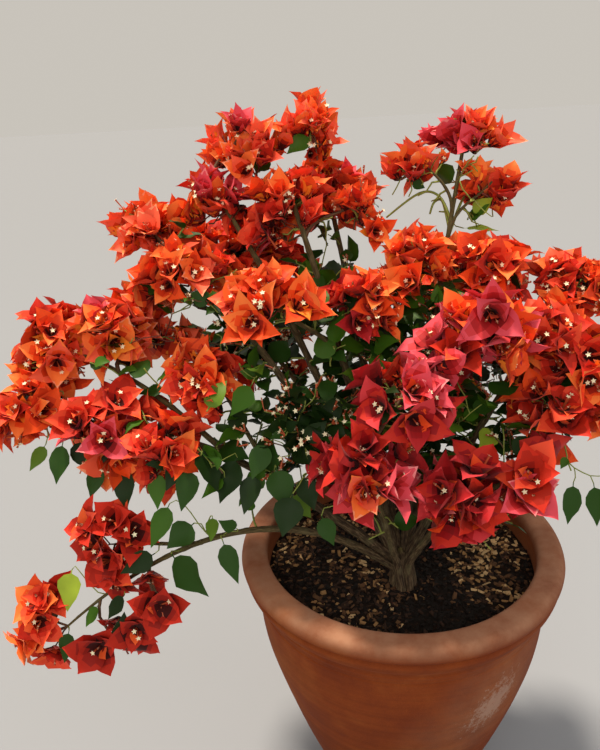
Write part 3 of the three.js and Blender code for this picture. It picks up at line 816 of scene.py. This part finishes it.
for spot, bare in LONE_SHOOTS:
    spot = np.array(spot) * MM
    nearest = forks[norm(forks[:fork_count] - spot, axis=1).argmin()]
    grow_twig(spot, unit(unit(spot - nearest) + UP * 0.1), 1.5, 0.8, 1, bare)
for step, points in GREEN_SHOOTS:
    line = smooth_through([limb_lines["upright"][step], *(np.array(points) * MM)], 6)
    twigs.append((line, np.linspace(1.9, 1.1, len(line)) * MM, 1))
for spot, size in YOUNG_BLOOMS:
    axis = unit((0.1, -0.6, 0.7))
    foot = np.array(spot) * MM - axis * 8 * MM
    grow_twig(foot, axis, 1.1, 0.8, 1, 1)
    blooms.append((foot, axis, size, 0))
for row in PLACED_LEAVES:
    grow_twig(row[:3] * MM, unit(unit(row[3:6]) + UP * 0.2), 0.9, 0.6, 1, 1)

twig_parts = [tube(line, radii[:, None], TWIG_SIDES) for line, radii, _ in twigs]
twig_slots = [tone for (_, _, tone), (_, faces) in zip(twigs, twig_parts) for _ in faces]
# Young twigs: smooth, a little waxy, brown, green or reddish by shoot
twig_piece = joined("twigs", *gathered(twig_parts),
                    [surface(name, colour, 0.7, 0.3)[0] for name, colour in TWIG_TONES.items()],
                    twig_slots, True)
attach(twig_piece, "root")


# The leaves: thin, broad and pointed, folded a little along the midrib and arching over, on
# alternate sides of every twig. Each is a small curved sheet with its stalk drawn out.
LEAF_TONES = dict(
    leaf_deep_green="182F0A", leaf_green="26480E", leaf_mid_green="3C6412", leaf_olive="5A7A1E",
    leaf_yellow_green="98AE34")
LEAF_ALONG = np.array([0, 0.09, 0.15, 0.29, 0.46, 0.64, 0.81, 1])
LEAF_OUTLINE = np.array([0.05, 0.05, 0.60, 0.97, 1, 0.74, 0.35, 0])
ACROSS = np.array([-1, -0.5, 0, 0.5, 1])
SHEET_ROWS = 7
SHEET_TIP = 5 * SHEET_ROWS
SHEET_FACES = 4 * SHEET_ROWS
sheet_quads = np.array([(5 * r + c, 5 * r + c + 1, 5 * r + c + 6, 5 * r + c + 5)
                        for r in range(SHEET_ROWS - 1) for c in range(4)])
sheet_tips = np.array([(SHEET_TIP - 5 + c, SHEET_TIP - 4 + c, SHEET_TIP) for c in range(4)])


def sheets(foot, axis, spoke, length, width, opening, closing, cup, fold, wave, along, outline):
    """Vertices of many curved sheets. Each sets off at an opening angle from its axis towards its
    spoke and has bent to its closing angle at the tip."""
    angle, angle_mid = (opening[:, None] + (closing - opening)[:, None] * at ** 1.3
                        for at in (along, (along[1:] + along[:-1]) / 2))
    step = length[:, None] * np.diff(along)
    zero = np.zeros((len(foot), 1))
    out = np.hstack([zero, np.cumsum(step * np.sin(angle_mid), 1)])
    up = np.hstack([zero, np.cumsum(step * np.cos(angle_mid), 1)])
    half = (width[:, None] * outline / 2)[..., None]
    off = np.abs(ACROSS)
    ripple = np.sin(tau * (1.6 * along[:, None] + wave[:, None, None]) + 2.2 * ACROSS) * off * 0.16
    lift = half * (cup[:, None, None] * ACROSS ** 2 - fold[:, None, None] * (1 - off) + ripple)
    spoke, axis = spoke[:, None], axis[:, None]
    facing = -np.cos(angle)[..., None] * spoke + np.sin(angle)[..., None] * axis
    spine = foot[:, None] + out[..., None] * spoke + up[..., None] * axis
    grid = (spine[:, :, None] + (half * ACROSS)[..., None] * np.cross(axis, spoke)[:, None]
            + lift[..., None] * facing[:, :, None])
    rows = grid[:, :SHEET_ROWS].reshape(len(foot), -1, 3)
    return np.concatenate([rows, spine[:, -1:]], 1)


def sheet_piece(name, points, face_slots, materials):
    """A joined mesh of curved sheets, with a slot for each of a sheet's faces."""
    start = np.arange(len(points))[:, None, None] * points.shape[1]
    quads, tips = (sheet_quads + start).tolist(), (sheet_tips + start).tolist()
    faces = [face for q, t in zip(quads, tips) for face in q + t]
    return joined(name, points.reshape(-1, 3), faces, materials, face_slots.ravel(), True)


chance = np.random.default_rng(88)
leaf_feet, leaf_ways, leaf_turns = (np.array(column) for column in zip(*leaf_places))
# No leaf grows through a bloom, and few show on a mass that is all bloom
heads = np.array([foot + axis * 16 * MM * size for foot, axis, size, _ in blooms])
clear = np.array([norm(heads - foot, axis=1).min() for foot in leaf_feet])
edge = np.array([min((((p - MIDDLES[n]) / HALVES[n]) ** 2).sum() for n in MASSES) for p in leaf_feet])
shown = (edge > 0.5) & (edge < 1.25)
kept = (clear > 17 * MM) & ~(shown & ((chance.random(len(edge)) < 0.3) | (clear < 30 * MM)))
kept &= chance.random(len(edge)) < leafy_share(leaf_feet)
leaf_feet, leaf_ways, leaf_turns, edge = leaf_feet[kept], leaf_ways[kept], leaf_turns[kept], edge[kept]
leaf_count = len(leaf_feet)
axis = unit(leaf_ways * 0.7 + UP * 0.75 + chance.normal(0, 0.22, (leaf_count, 3)))
seed_side = unit(np.cross(axis, UP + chance.normal(0, 0.05, (leaf_count, 3))))
other_side = np.cross(axis, seed_side)
spoke = seed_side * np.cos(leaf_turns)[:, None] + other_side * np.sin(leaf_turns)[:, None]
leaf_length = chance.uniform(22, 44, leaf_count) * MM * np.where(chance.random(leaf_count) < 0.22, 0.6, 1)
leaf_points = sheets(
    leaf_feet, axis, spoke, leaf_length, leaf_length * chance.uniform(0.56, 0.74, leaf_count),
    np.radians(chance.uniform(38, 66, leaf_count)), np.radians(chance.uniform(88, 132, leaf_count)),
    chance.uniform(-0.1, 0.22, leaf_count), chance.uniform(0.05, 0.22, leaf_count),
    chance.random(leaf_count), LEAF_ALONG, LEAF_OUTLINE)
# Painted shade and light: darker deep inside the bush, lighter at its edge and its top
painted_leaf_light = np.clip(edge, 0, 1.2) * 0.9 + (leaf_feet[:, 2] - 0.4) * 1.2 + chance.normal(0, 0.42, leaf_count)
leaf_tone = np.searchsorted([0.78, 1.32, 1.82, 2.2], painted_leaf_light)
# The placed leaves lie along their stalk-to-tip line with the face up and forward
stalks, along_leaf, shares = PLACED_LEAVES[:, :3], PLACED_LEAVES[:, 3:6] * MM, PLACED_LEAVES[:, 6] / 100
placed_spoke = unit(along_leaf)
facing = unit(np.array([0.1, -0.62, 0.78]) + chance.normal(0, 0.32, (len(stalks), 3)))
facing = unit(facing - placed_spoke * (facing * placed_spoke).sum(1)[:, None])
placed_length = norm(along_leaf, axis=1) * 1.06
level_angle = np.full(len(stalks), radians(78))
leaf_points = np.concatenate([leaf_points, sheets(
    stalks * MM, facing, placed_spoke, placed_length, placed_length * shares, level_angle,
    level_angle * 1.2, shares * 0.1, shares * 0.12, chance.random(len(stalks)), LEAF_ALONG, LEAF_OUTLINE)])
leaf_tone = np.concatenate([leaf_tone, PLACED_LEAVES[:, 7]])
leaf_slots = np.repeat(leaf_tone[:, None], SHEET_FACES, 1)
# Leaf blade: waxy above, so it shines a little
leaves = sheet_piece("leaves", leaf_points, leaf_slots,
                     [surface(name, colour, 0.55, 0.22)[0] for name, colour in LEAF_TONES.items()])
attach(leaves, "root")
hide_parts("mass_heart_left")


# The bloom: three papery bracts and three more behind them round each group of tiny flowers.
# A bract is a thin curved sheet, deep red with painted shade in the throat and lighter to its drawn-out
# point, where some bracts carry a pale painted highlight.
BRACT_ALONG = np.array([0, 0.14, 0.30, 0.47, 0.63, 0.78, 0.91, 1])
BRACT_OUTLINE = np.array([0.22, 0.62, 0.94, 1, 0.82, 0.47, 0.15, 0])
# The pale tones that some ramps put on a bract's tip are painted highlights
ORANGE_TONES = dict(
    throat_red_painted_shade="4A0604", inner_red="A2200C", orange="F4521A", light_orange="FF7E38", coral="FA6644",
    deep_orange="DA4014", pale_edge_painted_highlight="FF9E74", amber="F98A26")
SCARLET_TONES = dict(
    throat_dark_painted_shade="3E0504", inner_scarlet="96180B", scarlet="D62E18", bright_scarlet="EE4E2E",
    deep_scarlet_and_shade="B8240F", flame="F8642C", pale_coral_painted_highlight="FF9E84")
CRIMSON_TONES = dict(
    throat_wine_painted_shade="34040A", inner_wine="861014", crimson="B01C20", bright_crimson="D2383E", rose="E4505E",
    deep_crimson="980F14", ember="F0501E", pale_rose_painted_highlight="F28C8C", ruby="C62A1C")
# For each tone: the piece it is in, and the ramps of slots its bracts may take from foot to tip
TONES = [(piece, [tuple(map(int, ramp)) for ramp in ramps.split()]) for piece, ramps in (
    (0, "0152222 0155223 0123333 0523336"), (0, "0154444 0124433 1544466 0533366"),
    (1, "0142222 0144222 0423333 0423355"), (1, "0014444 0114442 0014222"),
    (2, "0152222 0152233 0523333 0128888 0158822"), (2, "0523444 0134444 1234477"))]
# The deep red and painted shade of the throat run one step further along the two middle columns of a bract
BRACT_ROWS = np.arange(SHEET_ROWS)[:, None] - np.array([0, 1, 1, 0])
# The small inner bracts are one bright tone
BRIGHT = (7, 5, 6)
# Number in a tier, chance of each, share of the full length, opening angle and closing angle
SINGLE = [(3, 1, 1, (30, 46), (76, 112)), (3, 0.6, 0.9, (14, 30), (56, 96)),
          (2, 0.3, 0.5, (0, 14), (16, 62))]
# Some blooms have a curled rosette of small bright bracts in the middle
DOUBLE = [*SINGLE[:2], (5, 0.9, 0.62, (8, 34), (56, 140))]

chance = np.random.default_rng(515)
bracts = [[], [], []]
flowers = []
for foot, axis, size, tone in blooms:
    piece, ramps = TONES[tone]
    first = chance.uniform(0, tau)
    across = unit(np.cross(axis, (0.31, 0.77, 0.55)))
    other = np.cross(axis, across)
    # Blooms near the top stand narrow and half shut, and the low ones open flat in a broad star
    upright = min(max((foot[2] - 0.6) / 0.2, 0), 1)
    flat = min(max((0.54 - foot[2]) / 0.14, 0), 1)
    shut = chance.uniform(0, 14) + 24 * upright - 26 * flat + 24 * (chance.random() < 0.14)
    slim = chance.uniform(0.58, 0.74) - 0.08 * upright + 0.08 * flat
    tiers = DOUBLE if chance.random() < 0.42 else SINGLE
    for tier, (count, odds, share, opening, closing) in enumerate(tiers):
        for k in range(count):
            if chance.random() > odds + 0.4 * flat * (tier == 1):
                continue
            turn = first + tau * (k / count + tier / 6) + chance.normal(0, 0.2)
            spoke = across * cos(turn) + other * sin(turn)
            length = chance.uniform(33, 42) * MM * size * share
            ramp = ramps[chance.integers(len(ramps))] if tier < 2 else (1,) + (BRIGHT[piece],) * 6
            bracts[piece].append((
                foot + spoke * 3 * MM * (tier == 2), axis, spoke, length,
                length * slim * chance.uniform(0.92, 1.08),
                radians(chance.uniform(*opening) - shut * (0.5 if shut > 0 else 0.9)),
                radians(chance.uniform(*closing) - max(shut, 0)),
                chance.uniform(0.15, 0.5), chance.uniform(0, 0.16), chance.random(), ramp))
    for _ in range(chance.integers(2, 4)):
        lean = unit(axis + chance.normal(0, 0.3, 3))
        flowers.append((foot, lean, chance.uniform(15, 22) * MM * size, chance.random() < 0.6))
# Many of the leafy shoots end in a few early flowers and buds
for tip, way in shoot_tips:
    for _ in range(chance.integers(0, 5)):
        lean = unit(way + UP * 0.4 + chance.normal(0, 0.6, 3))
        flowers.append((tip, lean, chance.uniform(5, 15) * MM, chance.random() < 0.5))

for piece, (name, tones, slot) in enumerate((
        ("bracts_orange", ORANGE_TONES, "orange_bracts"),
        ("bracts_scarlet", SCARLET_TONES, "orange_bracts"),
        ("bracts_crimson", CRIMSON_TONES, "crimson_bracts"))):
    columns = [np.array(column) for column in zip(*bracts[piece])]
    points = sheets(*columns[:10], BRACT_ALONG, BRACT_OUTLINE)
    # Bract: papery and matt, with a faint bloom of light at its edges
    materials = []
    for tone_name, colour in tones.items():
        material, _, shader = surface("bract_" + tone_name, colour, 0.6, 0.2)
        shader.inputs["Sheen Weight"].default_value = 0.06
        materials.append(material)
    made = sheet_piece(name, points, columns[10][:, np.maximum(BRACT_ROWS, 0)], materials)
    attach(made, "root")
    own = ["mass_" + n for n in MASSES
           if n != "heart_left" and np.add.reduceat(BLOOM[n][:6], (0, 2, 4)).argmax() == piece]
    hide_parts(*own)


# The true flowers: slender tubes that open in a cream star 6 mm across, two or three in the throat
# of each bloom and a few on many leafy shoots, about half of them in bud. Each is a four-sided
# tube with a fan of ten triangles for its star.
STAR_RADIUS = 3.1 * MM
star_angle = np.arange(10) / 10 * tau
star_reach = np.where(np.arange(10) % 2 == 0, 1.0, 0.5)
star_faces = [(0, 1 + k, 1 + (k + 1) % 10) for k in range(10)]
tube_faces = [(11 + k, 11 + (k + 1) % 4, 15 + (k + 1) % 4, 15 + k) for k in range(4)]
feet, leans, reach, open_now = (np.array(column) for column in zip(*flowers))
reach, open_now = reach[:, None], open_now[:, None]
across = unit(np.cross(leans, (0.2, 0.5, 0.84)))
other = np.cross(leans, across)
heads = feet + leans * reach
ring = across[:, None] * np.cos(star_angle)[:, None] + other[:, None] * np.sin(star_angle)[:, None]
# A star lies open, or is still folded up in a bud
rim = (heads[:, None] + ring * np.where(open_now, star_reach * STAR_RADIUS, 1.1 * MM)[..., None]
       + leans[:, None] * np.where(open_now, star_reach * 0.9 * MM, -2.6 * MM)[..., None])
square = ring[:, [0, 3, 5, 8]]
low = feet[:, None] + leans[:, None] * (reach[:, None] * 0.15) + square * 0.7 * MM
high = heads[:, None] + square * 1.2 * MM
flower_points = np.concatenate([heads[:, None], rim, low, high], 1)
flower_faces = [[i + 19 * n for i in face] for n in range(len(feet)) for face in star_faces + tube_faces]
flower_piece = joined("small_flowers", flower_points.reshape(-1, 3), flower_faces,
                      [surface("flower_cream", "F6ECC6", 0.5)[0], surface("flower_tube", "B8552F", 0.6)[0]],
                      np.tile([0] * 10 + [1] * 4, len(feet)), False)
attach(flower_piece, "root")


# The studio: a plain pale floor under soft light from the back left, with a wide fill in front.
bpy.ops.mesh.primitive_plane_add(size=40, location=(0, 0, -0.0005))
floor = bpy.context.object
floor.name = "floor"
floor.data.materials.append(surface("pale_floor", "94989E", 0.9, 0.2)[0])
world = bpy.data.worlds.new("soft_room")
bpy.context.scene.world = world
world.use_nodes = True
feed(world.node_tree.nodes["Background"], {"Color": linear("E8E2D8"), "Strength": 0.72})
for name, place, aim, kind, size, power, colour in (
        ("sun_side", (-0.5, 0.85, 3.2), (0, 0, 0), "SUN", radians(8), 4.4, "FFF0DC"),
        ("front_fill", (-0.7, -2.4, 2.2), (0, 0, 0.5), "AREA", 1.8, 20, "FFF8F0"),
        ("right_fill", (2.3, -0.9, 1.6), (0, 0, 0.5), "AREA", 1.6, 8, "F2F4FF")):
    lamp = bpy.data.lights.new(name, kind)
    if kind == "SUN":
        lamp.angle = size
    else:
        lamp.size = size
    lamp.energy = power
    lamp.color = linear(colour)[:3]
    stand = in_scene(name, lamp)
    stand.location = place
    stand.rotation_mode = "QUATERNION"
    stand.rotation_quaternion = (Vector(aim) - Vector(place)).to_track_quat("-Z", "Y")

# The camera stands where the photograph's did: above the bush's left front, looking down 22.3
# degrees and rolled 3.2 degrees, with a lens of 700 pixels for a picture 750 pixels high.
PITCH, ROLL = radians(22.3), radians(-3.2)
forward = Vector((0, cos(PITCH), -sin(PITCH)))
level = Vector((1, 0, 0))
above = level.cross(forward)
camera_data = bpy.data.cameras.new("camera")
camera_data.lens = 700 / 750 * camera_data.sensor_width
camera = in_scene("camera", camera_data)
right = cos(ROLL) * level + sin(ROLL) * above
top = -sin(ROLL) * level + cos(ROLL) * above
axes = Matrix((right, top, -forward)).transposed().to_4x4()
axes.translation = Vector((-0.108, -0.706, 0.856))
camera.matrix_world = axes
camera_data.clip_start = 0.01
bpy.context.scene.camera = camera
bpy.context.scene.view_settings.view_transform = "Standard"
